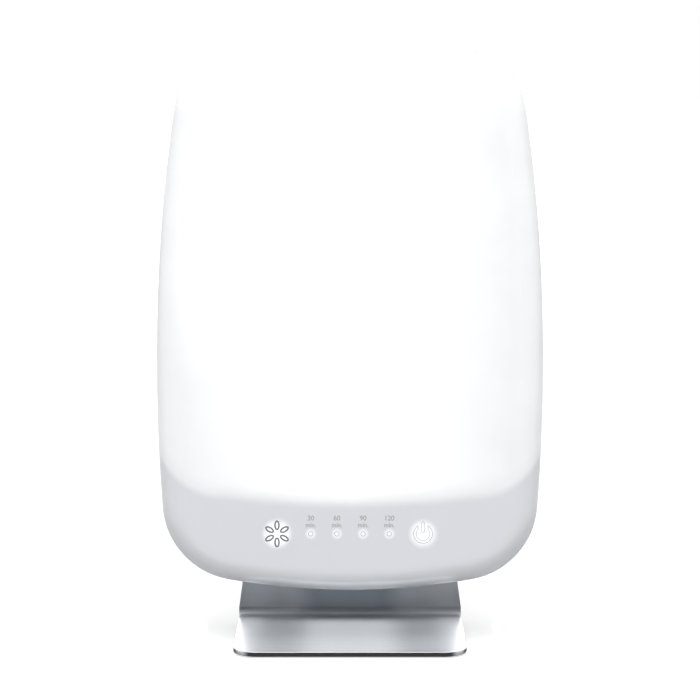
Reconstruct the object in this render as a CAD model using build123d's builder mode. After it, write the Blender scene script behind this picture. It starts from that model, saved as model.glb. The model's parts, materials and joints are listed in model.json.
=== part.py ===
from build123d import *

import os
from math import atan, cos, radians, sin, sqrt, tan

# A table-top light therapy lamp: a bent steel stand, and a flat head that tilts on two friction hinges.
# Millimetres. X to the viewer's right, the lit face looks along -Y, Z up, and the origin is on the table
# under the middle of the base. A head plane has X across the head, Y up the head and Z out of its lit
# face; heights in the head are counted from its lower edge, depths from the seam between its two covers.

# ---------------------------------------------------------------- driving dimensions
# Head outline, face on
HEAD_WIDTH = 340.0
HEAD_LENGTH = 483.0
SIDE_RADIUS = 1602.0
TOP_RADIUS = 550.0
BOTTOM_RADIUS = 610.0
TOP_CORNER_RADIUS = 62.0
BOTTOM_CORNER_RADIUS = 70.0
WIDEST_HEIGHT = 203.0

# Head placing
HEAD_TILT = 9.0
HEAD_SETBACK = 41.7
HEAD_LIFT = 50.4

# Covers
FRONT_DEPTH = 22.0
FRONT_BAND = 3.0
REAR_DEPTH = 32.0
REAR_BAND = 6.0
COVER_WALL = 2.5
SEAM = 1.6
SEAM_DEPTH = 1.0
COVER_FIT = 0.2

# Chassis, the frame between the covers
RIM_WALL = 3.0
WEB = 2.4
COVER_POST_RADIUS = 4.0
COVER_POST_GAP = 0.2
LOWER_SIDE_POST = 112.0
MIDDLE_SIDE_POST = 258.0
UPPER_SIDE_POST_DROP = 81.0
TOP_POST_X = 62.0
BOTTOM_POST_X = 86.0

# Lit area and light box
LIGHT_INSET = 18.0
LIGHT_FIT = 0.3
LIT_EDGE_HEIGHT = 77.6
LIT_EDGE_RADIUS = 810.0
LIT_CORNER_RADIUS = 38.0
BOX_WALL = 1.6
BOX_FLANGE = 1.8
DIFFUSER = 2.0
DIFFUSER_GAP = 5.5

# Carrier plate
CARRIER_SIDE_GAP = 52.0
CARRIER_TOP_GAP = 43.0
CARRIER_BELOW_LEDS = 16.0
CARRIER = 2.0
CARRIER_STANDOFF = 12.5
CARRIER_CORNER = 14.0

# LED boards and chips
LED_ROWS = 7
LED_ABOVE_LIT_EDGE = 35.0
LED_TOP_GAP = 58.0
LED_SIDE_GAP = 42.0
LED_BOARD_WIDTH = 14.0
LED_BOARD = 1.2
LEDS_PER_ROW = 13
LED_END_GAP = 8.0
LED_SIZE = 3.0
LED_HEIGHT = 0.8
LED_SCREW_PITCHES = 4.5
JUMPER_INSET = 4.0
JUMPER_RISE = 8.5
JUMPER_RADIUS = 0.6
FEED_PITCHES = -3.5
FEED_SPACING = 5.0
FEED_RADIUS = 0.8
FEED_DROP = 11.0
FEED_SOCKET = (9.0, 6.0, 3.0)

# Control panel
ICON_HEIGHT = 50.5
KEY_X = 63.6
TIMER_PITCH = 22.8
TIMER_DOTS = 4
PRINT = 0.1
PETALS = 6
PETAL_INNER = 3.2
PETAL_OUTER = 11.7
PETAL_WIDTH = 4.7
PETAL_LINE = 1.25
POWER_OUTER = 8.4
POWER_BAND = 2.7
POWER_LINE = 0.4
POWER_GAP = 5.4
POWER_BAR_TOP = 10.8
POWER_BAR_FOOT = 0.5
TIMER_RING = 2.2
TIMER_LINE = 0.45

# Control board and its light wells
CONTROL_BOARD_END = 10.0
CONTROL_BOARD_SIDE = 1.0
BOARD = 1.6
WELL_HEIGHT = 6.5
WELL_END_WALL = 3.0
WELL_SIDE_WALL = 1.5
KEY_WELL_RADIUS = 12.5
TIMER_WELL_RADIUS = 4.0
TOUCH_RING = 1.8
CONTROL_SCREW_INSET = 4.5
CHIP_X = 30.0
CHIP_SIZE = 10.0
CHIP_HEIGHT = 1.2
BOARD_POST_RADIUS = 3.0

# Driver board and what stands on it
DRIVER_START = -86.0
DRIVER_FOOT = 24.0
DRIVER_WIDTH = 42.0
DRIVER_STANDOFF = 6.0
DRIVER_SCREW_INSET = 4.0
DRIVER_FEED_END = 9.0
DRIVER_MAINS_END = 3.0
PART_GAP = 6.4
TERMINAL = (10.0, 16.0, 10.0)
FEED_TERMINAL = (14.0, 8.0, 8.0)
FEED_TERMINAL_EDGE = 2.0
TRANSFORMER = (26.0, 28.0, 18.0)
WINDING_WIDTH = 18.0
WINDING_HEIGHT = 14.4
CORE_HEIGHT = 17.0
HEATSINK = (20.0, 32.0, 16.0)
HEATSINK_FINS = 5
HEATSINK_FIN = 1.6
BULK_CAPACITOR_RADIUS = 6.5
BULK_CAPACITOR_HEIGHT = 18.0
CAPACITOR_PITCH = 16.0
SMALL_CAPACITOR_RADIUS = 4.5
SMALL_CAPACITOR_HEIGHT = 13.0
CHOKE_RADIUS = 6.5
CHOKE_ROD = 3.2
CHOKE_FOOT = 4.0
FUSE_LENGTH = 20.0
FUSE_RADIUS = 2.6
FUSE_UP = 15.0

# Ribbon between the two boards
RIBBON_SOCKET = (18.0, 6.0, 4.0)
RIBBON_WIDTH = 12.0
RIBBON = 0.8
RIBBON_TOP = 46.0
RIBBON_FOOT = 38.0
RIBBON_LEAD = 2.5
RIBBON_BEND = 2.0
RIBBON_WINDOW_MARGIN = 5.0

# Mains inlet, a two-pin figure-of-eight socket
INLET_FROM_SIDE = 52.0
INLET_HEIGHT = 60.0
INLET_FLANGE = (30.0, 18.0, 2.0)
INLET_BODY = (24.0, 14.0)
INLET_BODY_DEPTH = 16.0
SOCKET_WIDTH = 16.4
SOCKET_HEIGHT = 8.6
SOCKET_DEPTH = 12.5
PIN_RADIUS = 1.2
PIN_SPACING = 8.6
PIN_RECESS = 6.0
PIN_TAIL = 1.0
MAINS_RADIUS = 0.9
MAINS_RISE = 13.0
MAINS_SIDE = 8.0

# Vents in the rear cover
VENT_WIDTH = 3.2
VENT_LENGTH = 44.0
VENT_PITCH = 9.0
VENT_ROWS = 6
VENT_COLUMNS = 3
VENT_COLUMN_PITCH = 60.0
UPPER_VENT_DROP = 83.0
LOWER_VENT_HEIGHT = 100.0
LOWER_VENT_ROWS = 3

# Stand
BASE_WIDTH = 204.0
BASE_DEPTH = 132.0
BASE_CORNER = 20.0
SHEET = 4.0
BEND_RADIUS = 8.0
MAT = 1.2
MAT_INSET = 4.0
LEG_TAPER = 8.0
TAPER_START = 6.0
LEG_TOP_CORNER = 14.0
LEG_BELOW_HINGE = 16.0
LEG_BEHIND_HINGE = 4.0
SHEET_EDGE = 0.5

# Hinges
HINGE_HEIGHT = 178.0
HINGE_BEHIND = 12.0
HINGE_SPREAD = 46.0
PIVOT_RADIUS = 3.0
RUNNING_FIT = 0.05
LUG_RADIUS = 7.5
EAR = 3.0
WASHER = 1.0
WASHER_RADIUS = 6.6
NUT_WIDTH = 10.0
NUT = 5.0
PIVOT_HEAD_RADIUS = 5.0
PIVOT_HEAD = 3.0
PIVOT_TAIL = 1.0
BRACKET = 3.0
BRACKET_WIDTH = 40.0
BRACKET_CORNER = 4.0
HEAD_BRACKET_LENGTH = 60.0
HEAD_EAR_LENGTH = 32.0
STAND_BRACKET_LENGTH = 50.0
STAND_BRACKET_DROP = 3.0
BRACKET_SCREW_SIDE = 6.0
HEAD_SCREW_END = 8.0
STAND_SCREW_END = 10.0

# Screws: shank radius, head radius, head height, socket width
BOLT = (2.0, 3.8, 2.2, 2.5)
COVER_SCREW = (1.5, 2.8, 2.0, 2.0)
SMALL_SCREW = (1.25, 2.4, 1.6, 1.5)
HEAD_ROUNDING = 0.4
SOCKET_SHARE = 0.6
SCREW_HOLE_FIT = 0.2
THREAD_FIT = 0.02
COVER_SCREW_SEAT = 10.0
COVER_SCREW_BITE = 7.0
BOSS_RADIUS = 5.0
CLINCH_NUT = 3.0
CLINCH_NUT_RADIUS = 4.2
BOLT_PAST_CARRIER = 0.4

# ---------------------------------------------------------------- depths in the head, from the seam
FRONT_INSIDE = FRONT_DEPTH - COVER_WALL
REAR_INSIDE = COVER_WALL - REAR_DEPTH
CARRIER_BACK = REAR_INSIDE + CARRIER_STANDOFF
BOX_BACK = CARRIER_BACK + CARRIER
LED_BOARD_BACK = BOX_BACK + BOX_WALL
LED_BOARD_FRONT = LED_BOARD_BACK + LED_BOARD
BOX_RIM = FRONT_INSIDE - DIFFUSER_GAP - DIFFUSER
CONTROL_FRONT = FRONT_INSIDE - WELL_HEIGHT
CONTROL_BACK = CONTROL_FRONT - BOARD
DRIVER_FRONT = -DRIVER_STANDOFF
DRIVER_BACK = DRIVER_FRONT - BOARD
COVER_SEAT = -REAR_BAND - COVER_SCREW_SEAT
HINGE_DEPTH = -REAR_DEPTH - HINGE_BEHIND
INLET_BACK = INLET_BODY_DEPTH - REAR_DEPTH - INLET_FLANGE[2]

# ---------------------------------------------------------------- sizes that follow from the others
post_inset = LIGHT_INSET - BOX_FLANGE - COVER_POST_GAP - COVER_POST_RADIUS

led_first_row = LIT_EDGE_HEIGHT + LED_ABOVE_LIT_EDGE
led_row_pitch = (HEAD_LENGTH - LED_TOP_GAP - led_first_row) / (LED_ROWS - 1)
led_board_length = HEAD_WIDTH - 2 * LED_SIDE_GAP
led_pitch = (led_board_length - 2 * LED_END_GAP) / (LEDS_PER_ROW - 1)
feed_x = FEED_PITCHES * led_pitch

carrier_bottom = led_first_row - CARRIER_BELOW_LEDS
carrier_length = HEAD_LENGTH - CARRIER_TOP_GAP - carrier_bottom

well_block_length = 2 * (KEY_X + KEY_WELL_RADIUS + WELL_END_WALL)
well_block_width = 2 * (KEY_WELL_RADIUS + WELL_SIDE_WALL)
control_board_length = well_block_length + 2 * CONTROL_BOARD_END
control_board_width = well_block_width + 2 * CONTROL_BOARD_SIDE

inlet_x = HEAD_WIDTH / 2 - INLET_FROM_SIDE
upper_vent_height = HEAD_LENGTH - UPPER_VENT_DROP

# What stands on the driver board, from its feed end to its mains end
driver_height = DRIVER_FOOT + DRIVER_WIDTH / 2
driver_widths = [
    FEED_TERMINAL[0],
    2 * SMALL_CAPACITOR_RADIUS,
    HEATSINK[0],
    TRANSFORMER[0],
    2 * BULK_CAPACITOR_RADIUS,
    2 * (CHOKE_RADIUS + CHOKE_ROD),
    TERMINAL[0],
]
driver_places = []
driver_edge = DRIVER_START + DRIVER_FEED_END
for width in driver_widths:
    driver_places.append(driver_edge + width / 2)
    driver_edge += width + PART_GAP
driver_end = driver_edge - PART_GAP + DRIVER_MAINS_END
feed_terminal_x, small_capacitor_x, heatsink_x, transformer_x = driver_places[:4]
bulk_capacitor_x, choke_x, terminal_x = driver_places[4:]
feed_terminal_height = DRIVER_FOOT + DRIVER_WIDTH - FEED_TERMINAL_EDGE - FEED_TERMINAL[1] / 2
fuse_start = bulk_capacitor_x + BULK_CAPACITOR_RADIUS + PART_GAP / 2

# ---------------------------------------------------------------- planes and places
SHEET_TOP = MAT + SHEET
BASE_FRONT = -BASE_DEPTH / 2
LEG_FOOT_Y = BASE_DEPTH / 2 - SHEET

tilt = radians(HEAD_TILT)
HEAD = Plane(
    origin=(0, BASE_FRONT + HEAD_SETBACK, HEAD_LIFT),
    x_dir=(1, 0, 0),
    z_dir=(0, -cos(tilt), sin(tilt)),
)
HEAD_AXIS = Axis(HEAD.origin, HEAD.z_dir)
HEAD_SIDE = Plane(origin=HEAD.origin, x_dir=HEAD.y_dir, z_dir=(1, 0, 0))
hinge = HEAD.from_local_coords((0, HINGE_HEIGHT, HINGE_DEPTH))

leg_lean = atan((LEG_FOOT_Y - hinge.Y - LEG_BEHIND_HINGE) / (hinge.Z - SHEET_TOP))
LEG = Plane(
    origin=(0, LEG_FOOT_Y, SHEET_TOP),
    x_dir=(1, 0, 0),
    z_dir=(0, -cos(leg_lean), -sin(leg_lean)),
)
leg_length = LEG.to_local_coords(hinge).Y - LEG_BELOW_HINGE

icons = {
    "mode": (-KEY_X, ICON_HEIGHT),
    "power": (KEY_X, ICON_HEIGHT),
}
timer_places = [((i - (TIMER_DOTS - 1) / 2) * TIMER_PITCH, ICON_HEIGHT) for i in range(TIMER_DOTS)]
led_rows = [led_first_row + i * led_row_pitch for i in range(LED_ROWS)]

side_centre = Vector(HEAD_WIDTH / 2 - SIDE_RADIUS, WIDEST_HEIGHT)
top_centre = Vector(0, HEAD_LENGTH - TOP_RADIUS)
bottom_centre = Vector(0, BOTTOM_RADIUS)


# ---------------------------------------------------------------- helpers
def corner_centre(centre_a, reach_a, centre_b, reach_b):
    """The point on the +X side that lies reach_a from centre_a and reach_b from centre_b."""
    gap = centre_b - centre_a
    along = (reach_a**2 - reach_b**2 + gap.length**2) / (2 * gap.length)
    across = sqrt(reach_a**2 - along**2)
    unit = gap.normalized()
    foot = centre_a + unit * along
    normal = Vector(-unit.Y, unit.X) * across
    return max(foot + normal, foot - normal, key=lambda point: point.X)


def arc_about(centre, start, end):
    """The arc about centre from start to end, the short way."""
    outward = (start - centre).normalized() + (end - centre).normalized()
    return ThreePointArc(start, centre + outward.normalized() * (start - centre).length, end)


def head_outline(inset=0.0, lower_edge=0.0, lower_radius=BOTTOM_RADIUS, lower_corner=BOTTOM_CORNER_RADIUS):
    """The head's outline moved inwards by inset, as a flat sketch of tangent arcs."""
    lower_centre = Vector(0, lower_edge + lower_radius)
    upper = corner_centre(
        side_centre, SIDE_RADIUS - TOP_CORNER_RADIUS, top_centre, TOP_RADIUS - TOP_CORNER_RADIUS
    )
    lower = corner_centre(
        side_centre, SIDE_RADIUS - lower_corner, lower_centre, lower_radius - lower_corner
    )

    def touch(centre, radius, corner):
        return centre + (corner - centre).normalized() * (radius - inset)

    bottom_end = touch(lower_centre, lower_radius, lower)
    side_start = touch(side_centre, SIDE_RADIUS, lower)
    side_end = touch(side_centre, SIDE_RADIUS, upper)
    top_start = touch(top_centre, TOP_RADIUS, upper)
    with BuildSketch() as flat:
        with BuildLine():
            arc_about(lower_centre, Vector(0, lower_edge + inset), bottom_end)
            arc_about(lower, bottom_end, side_start)
            arc_about(side_centre, side_start, side_end)
            arc_about(upper, side_end, top_start)
            arc_about(top_centre, top_start, Vector(0, HEAD_LENGTH - inset))
            mirror(about=Plane.YZ)
        make_face()
    return flat.sketch


def light_outline(inset=LIGHT_INSET):
    """The light box's outline: the head's sides and top, and the curved lower edge of the lit area."""
    return head_outline(
        inset,
        LIT_EDGE_HEIGHT - LIGHT_INSET,
        LIT_EDGE_RADIUS + LIGHT_INSET,
        LIT_CORNER_RADIUS + LIGHT_INSET,
    )


def slab(sketch, low, high):
    """A flat sketch in the head, made solid between two depths."""
    with BuildPart() as piece:
        with BuildSketch(HEAD.offset(low)):
            add(sketch)
        extrude(amount=high - low)
    return piece.part


def columns(places, radius, low, high):
    """Round columns in the head, one at each place, between two depths."""
    with BuildPart() as piece:
        with BuildSketch(HEAD.offset(low)):
            with Locations(*places):
                Circle(radius)
        extrude(amount=high - low)
    return piece.part


def blocks(places, size, low):
    """Rectangular blocks of size (width, height, depth) in the head, one at each place."""
    width, height, depth = size
    with BuildPart() as piece:
        with BuildSketch(HEAD.offset(low)):
            with Locations(*places):
                Rectangle(width, height)
        extrude(amount=depth)
    return piece.part


def screws(seat, places, kind, length):
    """Screws whose heads stand on the seat plane and whose shanks go the other way."""
    shank_radius, head_radius, head_height, socket = kind
    with BuildPart() as piece:
        with BuildSketch(seat):
            with Locations(*places):
                Circle(head_radius)
        extrude(amount=head_height)
        fillet(piece.faces().sort_by(Axis(seat.origin, seat.z_dir))[-1].edges(), head_height * HEAD_ROUNDING)
        with BuildSketch(seat):
            with Locations(*places):
                Circle(shank_radius)
        extrude(amount=-length)
        with BuildSketch(seat.offset(head_height)):
            with Locations(*places):
                RegularPolygon(socket / 2, 6)
        extrude(amount=-head_height * SOCKET_SHARE, mode=Mode.SUBTRACT)
    return piece.part


def wire(points, radius):
    """A wire through points in the head, with a bend at each corner as wide as its two runs allow."""
    route = [HEAD.from_local_coords(point) for point in points]
    bends = []
    for before, corner, after in zip(route, route[1:], route[2:]):
        half_turn = radians((corner - before).get_angle(after - corner)) / 2
        run = min((corner - before).length, (after - corner).length)
        bends.append(0.45 * run / tan(half_turn))
    print("wire bends", [round(bend, 1) for bend in bends], "radius", radius)
    with BuildPart() as piece:
        with BuildLine() as path:
            FilletPolyline(*route, radius=bends)
        with BuildSketch(Plane(origin=path.line @ 0, z_dir=path.line % 0)):
            Circle(radius)
        sweep()
    return piece.part


def across_pair(build):
    """One solid for each hinge, made by build(side) with side -1 on the left and 1 on the right."""
    with BuildPart() as piece:
        for side in (-1, 1):
            add(build(side))
    return piece.part


def finish(piece, name):
    """Names a finished piece and writes it."""
    piece.label = name
    export_step(piece, f"parts/{name}.step")


os.makedirs("parts", exist_ok=True)


# ---------------------------------------------------------------- places of the fasteners
def side_point(height, inset):
    reach = sqrt((SIDE_RADIUS - inset) ** 2 - (height - WIDEST_HEIGHT) ** 2)
    return side_centre.X + reach, height


def top_point(x, inset):
    return x, top_centre.Y + sqrt((TOP_RADIUS - inset) ** 2 - x**2)


def bottom_point(x, inset):
    return x, bottom_centre.Y - sqrt((BOTTOM_RADIUS - inset) ** 2 - x**2)


side_post_heights = (LOWER_SIDE_POST, MIDDLE_SIDE_POST, HEAD_LENGTH - UPPER_SIDE_POST_DROP)
right_posts = [side_point(height, post_inset) for height in side_post_heights]
right_posts.append(top_point(TOP_POST_X, post_inset))
right_posts.append(bottom_point(BOTTOM_POST_X, post_inset))
cover_posts = [(side * x, y) for x, y in right_posts for side in (-1, 1)]

bracket_screw_x = BRACKET_WIDTH / 2 - BRACKET_SCREW_SIDE
head_screw_y = HEAD_BRACKET_LENGTH / 2 - HEAD_SCREW_END
stand_screw_y = STAND_BRACKET_LENGTH / 2 - STAND_SCREW_END
head_bolts = [
    (side * HINGE_SPREAD + x, HINGE_HEIGHT + y)
    for side in (-1, 1)
    for x in (-bracket_screw_x, bracket_screw_x)
    for y in (-head_screw_y, head_screw_y)
]
stand_bracket_centre = leg_length - STAND_BRACKET_DROP - STAND_BRACKET_LENGTH / 2
stand_bolts = [
    (side * HINGE_SPREAD + x, stand_bracket_centre + y)
    for side in (-1, 1)
    for x in (-bracket_screw_x, bracket_screw_x)
    for y in (-stand_screw_y, stand_screw_y)
]
control_screw_places = [
    (x * (control_board_length / 2 - CONTROL_SCREW_INSET),
     ICON_HEIGHT + y * (control_board_width / 2 - CONTROL_SCREW_INSET))
    for x in (-1, 1)
    for y in (-1, 1)
]
driver_screw_places = [
    (x, y)
    for x in (DRIVER_START + DRIVER_SCREW_INSET, driver_end - DRIVER_SCREW_INSET)
    for y in (DRIVER_FOOT + DRIVER_SCREW_INSET, DRIVER_FOOT + DRIVER_WIDTH - DRIVER_SCREW_INSET)
]
led_screw_places = [(side * LED_SCREW_PITCHES * led_pitch, row) for row in led_rows for side in (-1, 1)]
feed_places = [(feed_x + side * FEED_SPACING / 2, led_first_row) for side in (-1, 1)]

# ---------------------------------------------------------------- stand plate: base and leg in one sheet
lean_shift = SHEET / cos(leg_lean)
outer_foot = Vector(LEG_FOOT_Y + lean_shift + SHEET * tan(leg_lean), MAT)
leg_top_front = LEG.from_local_coords((0, leg_length, 0))
leg_top_back = LEG.from_local_coords((0, leg_length, -SHEET))
taper_narrowing = (leg_top_front.Z - SHEET_TOP - TAPER_START) * tan(radians(LEG_TAPER))

with BuildPart() as stand_plate:
    with BuildSketch(Plane.YZ) as stand_profile:
        with BuildLine():
            Polyline(
                (BASE_FRONT, MAT),
                outer_foot,
                (leg_top_back.Y, leg_top_back.Z),
                (leg_top_front.Y, leg_top_front.Z),
                (LEG_FOOT_Y, SHEET_TOP),
                (BASE_FRONT, SHEET_TOP),
                close=True,
            )
        make_face()
        fillet(stand_profile.vertices().sort_by_distance((LEG_FOOT_Y, SHEET_TOP))[0], BEND_RADIUS)
        fillet(stand_profile.vertices().sort_by_distance(outer_foot)[0], BEND_RADIUS + SHEET)
    extrude(amount=BASE_WIDTH / 2, both=True)
    with BuildSketch(Plane.XZ.offset(-BASE_DEPTH)) as leg_front_view:
        with BuildLine():
            Polyline(
                (0, 0),
                (BASE_WIDTH / 2, 0),
                (BASE_WIDTH / 2, SHEET_TOP + TAPER_START),
                (BASE_WIDTH / 2 - taper_narrowing, leg_top_front.Z + SHEET),
                (0, leg_top_front.Z + SHEET),
            )
            mirror(about=Plane.YZ)
        make_face()
    extrude(amount=2 * BASE_DEPTH, mode=Mode.INTERSECT)
    fillet(stand_plate.edges().filter_by(Axis.Z).group_by(Axis.Y)[0], BASE_CORNER)
    leg_thickness_edges = stand_plate.edges().filter_by(lambda e: abs(e.length - SHEET) < SHEET / 4)
    fillet(leg_thickness_edges.group_by(Axis.Z)[-1], LEG_TOP_CORNER)
    sheet_faces = stand_plate.faces().sort_by(SortBy.AREA)[-6:]
    rims = [edge for face in sheet_faces for edge in face.edges()]
    free_rims = [edge for edge in rims if sum(edge.is_same(other) for other in rims) == 1]
    fillet(free_rims, SHEET_EDGE)
    with BuildSketch(LEG):
        with Locations(*stand_bolts):
            Circle(BOLT[0] + SCREW_HOLE_FIT)
    extrude(amount=-2 * SHEET, mode=Mode.SUBTRACT)
finish(stand_plate.part, "stand_plate")

with BuildPart() as foot_mat:
    mat_back = LEG_FOOT_Y - BEND_RADIUS - MAT_INSET
    mat_front = BASE_FRONT + MAT_INSET
    with BuildSketch():
        with Locations((0, (mat_front + mat_back) / 2)):
            Rectangle(BASE_WIDTH - 2 * MAT_INSET, mat_back - mat_front)
    extrude(amount=MAT)
    fillet(foot_mat.edges().filter_by(Axis.Z).group_by(Axis.Y)[0], BASE_CORNER - MAT_INSET)
    fillet(foot_mat.edges().filter_by(Axis.Z).group_by(Axis.Y)[-1], MAT_INSET)
finish(foot_mat.part, "foot_mat")

# ---------------------------------------------------------------- hinges
EAR_REACH = EAR / 2 + RUNNING_FIT + WASHER + RUNNING_FIT
EAR_OUTSIDE = EAR_REACH + EAR


def leg_side_corners(low, high, back, front):
    """Corners, as seen from the side, of a stretch of the leg between two depths from its front face."""
    places = ((low, back), (low, front), (high, front), (high, back))
    corners = [LEG.from_local_coords((0, along, depth)) for along, depth in places]
    return [(corner.Y, corner.Z) for corner in corners]


def stand_bracket(side):
    """A plate on the leg's front with two ears that hold the pivot."""
    centre = side * HINGE_SPREAD
    bracket_low = stand_bracket_centre - STAND_BRACKET_LENGTH / 2
    bracket_high = bracket_low + STAND_BRACKET_LENGTH
    with BuildSketch(Plane.YZ) as ear:
        with Locations((hinge.Y, hinge.Z)):
            Circle(LUG_RADIUS)
        with BuildLine():
            Polyline(*leg_side_corners(bracket_low, bracket_high, 0, BRACKET), close=True)
        make_hull()
        with BuildLine():
            Polyline(*leg_side_corners(0, leg_length + COVER_FIT, -2 * LUG_RADIUS, 0), close=True)
        make_face(mode=Mode.SUBTRACT)
        with Locations((hinge.Y, hinge.Z)):
            Circle(PIVOT_RADIUS + RUNNING_FIT, mode=Mode.SUBTRACT)
    with BuildPart() as bracket:
        with BuildSketch(LEG):
            with Locations((centre, stand_bracket_centre)):
                RectangleRounded(BRACKET_WIDTH, STAND_BRACKET_LENGTH, BRACKET_CORNER)
        extrude(amount=BRACKET)
        for inner in (EAR_REACH, -EAR_OUTSIDE):
            with BuildSketch(Plane.YZ.offset(centre + inner)):
                add(ear.sketch_local)
            extrude(amount=EAR)
        with BuildSketch(LEG):
            with Locations(*[place for place in stand_bolts if place[0] * side > 0]):
                Circle(BOLT[0] + THREAD_FIT)
        extrude(amount=BRACKET, mode=Mode.SUBTRACT)
    return bracket.part


def head_bracket(side):
    """A plate on the rear cover with one ear that turns on the pivot."""
    centre = side * HINGE_SPREAD
    with BuildSketch(HEAD_SIDE) as ear:
        with Locations((HINGE_HEIGHT, HINGE_DEPTH)):
            Circle(LUG_RADIUS)
        with BuildLine():
            Polyline(
                (HINGE_HEIGHT - HEAD_EAR_LENGTH / 2, -REAR_DEPTH - BRACKET),
                (HINGE_HEIGHT - HEAD_EAR_LENGTH / 2, -REAR_DEPTH),
                (HINGE_HEIGHT + HEAD_EAR_LENGTH / 2, -REAR_DEPTH),
                (HINGE_HEIGHT + HEAD_EAR_LENGTH / 2, -REAR_DEPTH - BRACKET),
                close=True,
            )
        make_hull()
        with Locations((HINGE_HEIGHT, HINGE_DEPTH)):
            Circle(PIVOT_RADIUS + RUNNING_FIT, mode=Mode.SUBTRACT)
    with BuildPart() as bracket:
        with BuildSketch(HEAD.offset(-REAR_DEPTH - BRACKET)):
            with Locations((centre, HINGE_HEIGHT)):
                RectangleRounded(BRACKET_WIDTH, HEAD_BRACKET_LENGTH, BRACKET_CORNER)
        extrude(amount=BRACKET)
        with BuildSketch(HEAD_SIDE.offset(centre - EAR / 2)):
            add(ear.sketch_local)
        extrude(amount=EAR)
        with BuildSketch(HEAD.offset(-REAR_DEPTH - BRACKET)):
            with Locations(*[place for place in head_bolts if place[0] * side > 0]):
                Circle(BOLT[0] + SCREW_HOLE_FIT)
        extrude(amount=BRACKET, mode=Mode.SUBTRACT)
    return bracket.part


def pivot_disc(side, start, thickness, radius, bore):
    """A ring about the pivot axis, from start to start + thickness away from the lamp's middle."""
    centre = side * HINGE_SPREAD
    with BuildPart() as disc:
        with BuildSketch(Plane.YZ.offset(centre + side * start)):
            with Locations((hinge.Y, hinge.Z)):
                Circle(radius)
                Circle(bore, mode=Mode.SUBTRACT)
        extrude(amount=side * thickness)
    return disc.part


def hinge_pin(side):
    """A pivot with its head on the outer ear and its end through the nut on the inner ear."""
    centre = side * HINGE_SPREAD
    tail = EAR_OUTSIDE + WASHER + NUT + PIVOT_TAIL
    with BuildPart() as pin:
        with BuildSketch(Plane.YZ.offset(centre - side * tail)):
            with Locations((hinge.Y, hinge.Z)):
                Circle(PIVOT_RADIUS)
        extrude(amount=side * (tail + EAR_OUTSIDE))
        with BuildSketch(Plane.YZ.offset(centre + side * EAR_OUTSIDE)):
            with Locations((hinge.Y, hinge.Z)):
                Circle(PIVOT_HEAD_RADIUS)
        extrude(amount=side * PIVOT_HEAD)
        outer_face = pin.faces().sort_by(Axis.X)[-1 if side > 0 else 0]
        fillet(outer_face.edges(), PIVOT_HEAD * HEAD_ROUNDING)
        with BuildSketch(Plane.YZ.offset(centre + side * (EAR_OUTSIDE + PIVOT_HEAD))):
            with Locations((hinge.Y, hinge.Z)):
                RegularPolygon(PIVOT_RADIUS * SOCKET_SHARE, 6)
        extrude(amount=-side * PIVOT_HEAD * SOCKET_SHARE, mode=Mode.SUBTRACT)
    return pin.part


def hinge_nut(side):
    """The nut that loads the friction washers."""
    start = EAR_OUTSIDE + WASHER
    with BuildPart() as nut:
        with BuildSketch(Plane.YZ.offset(side * (HINGE_SPREAD - start))):
            with Locations((hinge.Y, hinge.Z)):
                RegularPolygon(NUT_WIDTH / 2, 6, major_radius=False)
                Circle(PIVOT_RADIUS + THREAD_FIT, mode=Mode.SUBTRACT)
        extrude(amount=-side * NUT)
    return nut.part


finish(across_pair(stand_bracket), "stand_hinge_brackets")
finish(across_pair(head_bracket), "head_hinge_brackets")
finish(across_pair(hinge_pin), "hinge_pins")
finish(across_pair(hinge_nut), "hinge_nuts")

with BuildPart() as friction_washers:
    for side in (-1, 1):
        for start in (EAR / 2 + RUNNING_FIT, -EAR / 2 - RUNNING_FIT - WASHER):
            add(pivot_disc(side, start, WASHER, WASHER_RADIUS, PIVOT_RADIUS + RUNNING_FIT))
finish(friction_washers.part, "friction_washers")

with BuildPart() as spring_washers:
    for side in (-1, 1):
        add(pivot_disc(side, -EAR_OUTSIDE - WASHER, WASHER, PIVOT_HEAD_RADIUS, PIVOT_RADIUS + RUNNING_FIT))
finish(spring_washers.part, "spring_washers")

leg_back = Plane(origin=LEG.offset(-SHEET).origin, x_dir=(-1, 0, 0), z_dir=-LEG.z_dir)
stand_bolt_reach = SHEET + BRACKET
finish(
    screws(leg_back, [(-x, y) for x, y in stand_bolts], BOLT, stand_bolt_reach),
    "stand_bracket_screws",
)

bracket_back = Plane(
    origin=HEAD.offset(-REAR_DEPTH - BRACKET).origin, x_dir=(-1, 0, 0), z_dir=-HEAD.z_dir
)
head_bolt_reach = BRACKET + COVER_WALL + CARRIER_STANDOFF + CARRIER - BOLT_PAST_CARRIER
finish(
    screws(bracket_back, [(-x, y) for x, y in head_bolts], BOLT, head_bolt_reach),
    "head_bracket_screws",
)

# ---------------------------------------------------------------- covers
with BuildPart() as front_space:
    with BuildSketch(HEAD.offset(-SEAM)):
        add(head_outline(COVER_WALL))
    extrude(amount=FRONT_INSIDE + SEAM)
    fillet(front_space.faces().sort_by(HEAD_AXIS)[-1].edges(), FRONT_DEPTH - FRONT_BAND - COVER_WALL)

with BuildPart() as front_cover:
    with BuildSketch(HEAD.offset(SEAM / 2)):
        add(head_outline())
    extrude(amount=FRONT_DEPTH - SEAM / 2)
    fillet(front_cover.faces().sort_by(HEAD_AXIS)[-1].edges(), FRONT_DEPTH - FRONT_BAND)
    add(front_space.part, mode=Mode.SUBTRACT)
finish(front_cover.part, "front_cover")

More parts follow.
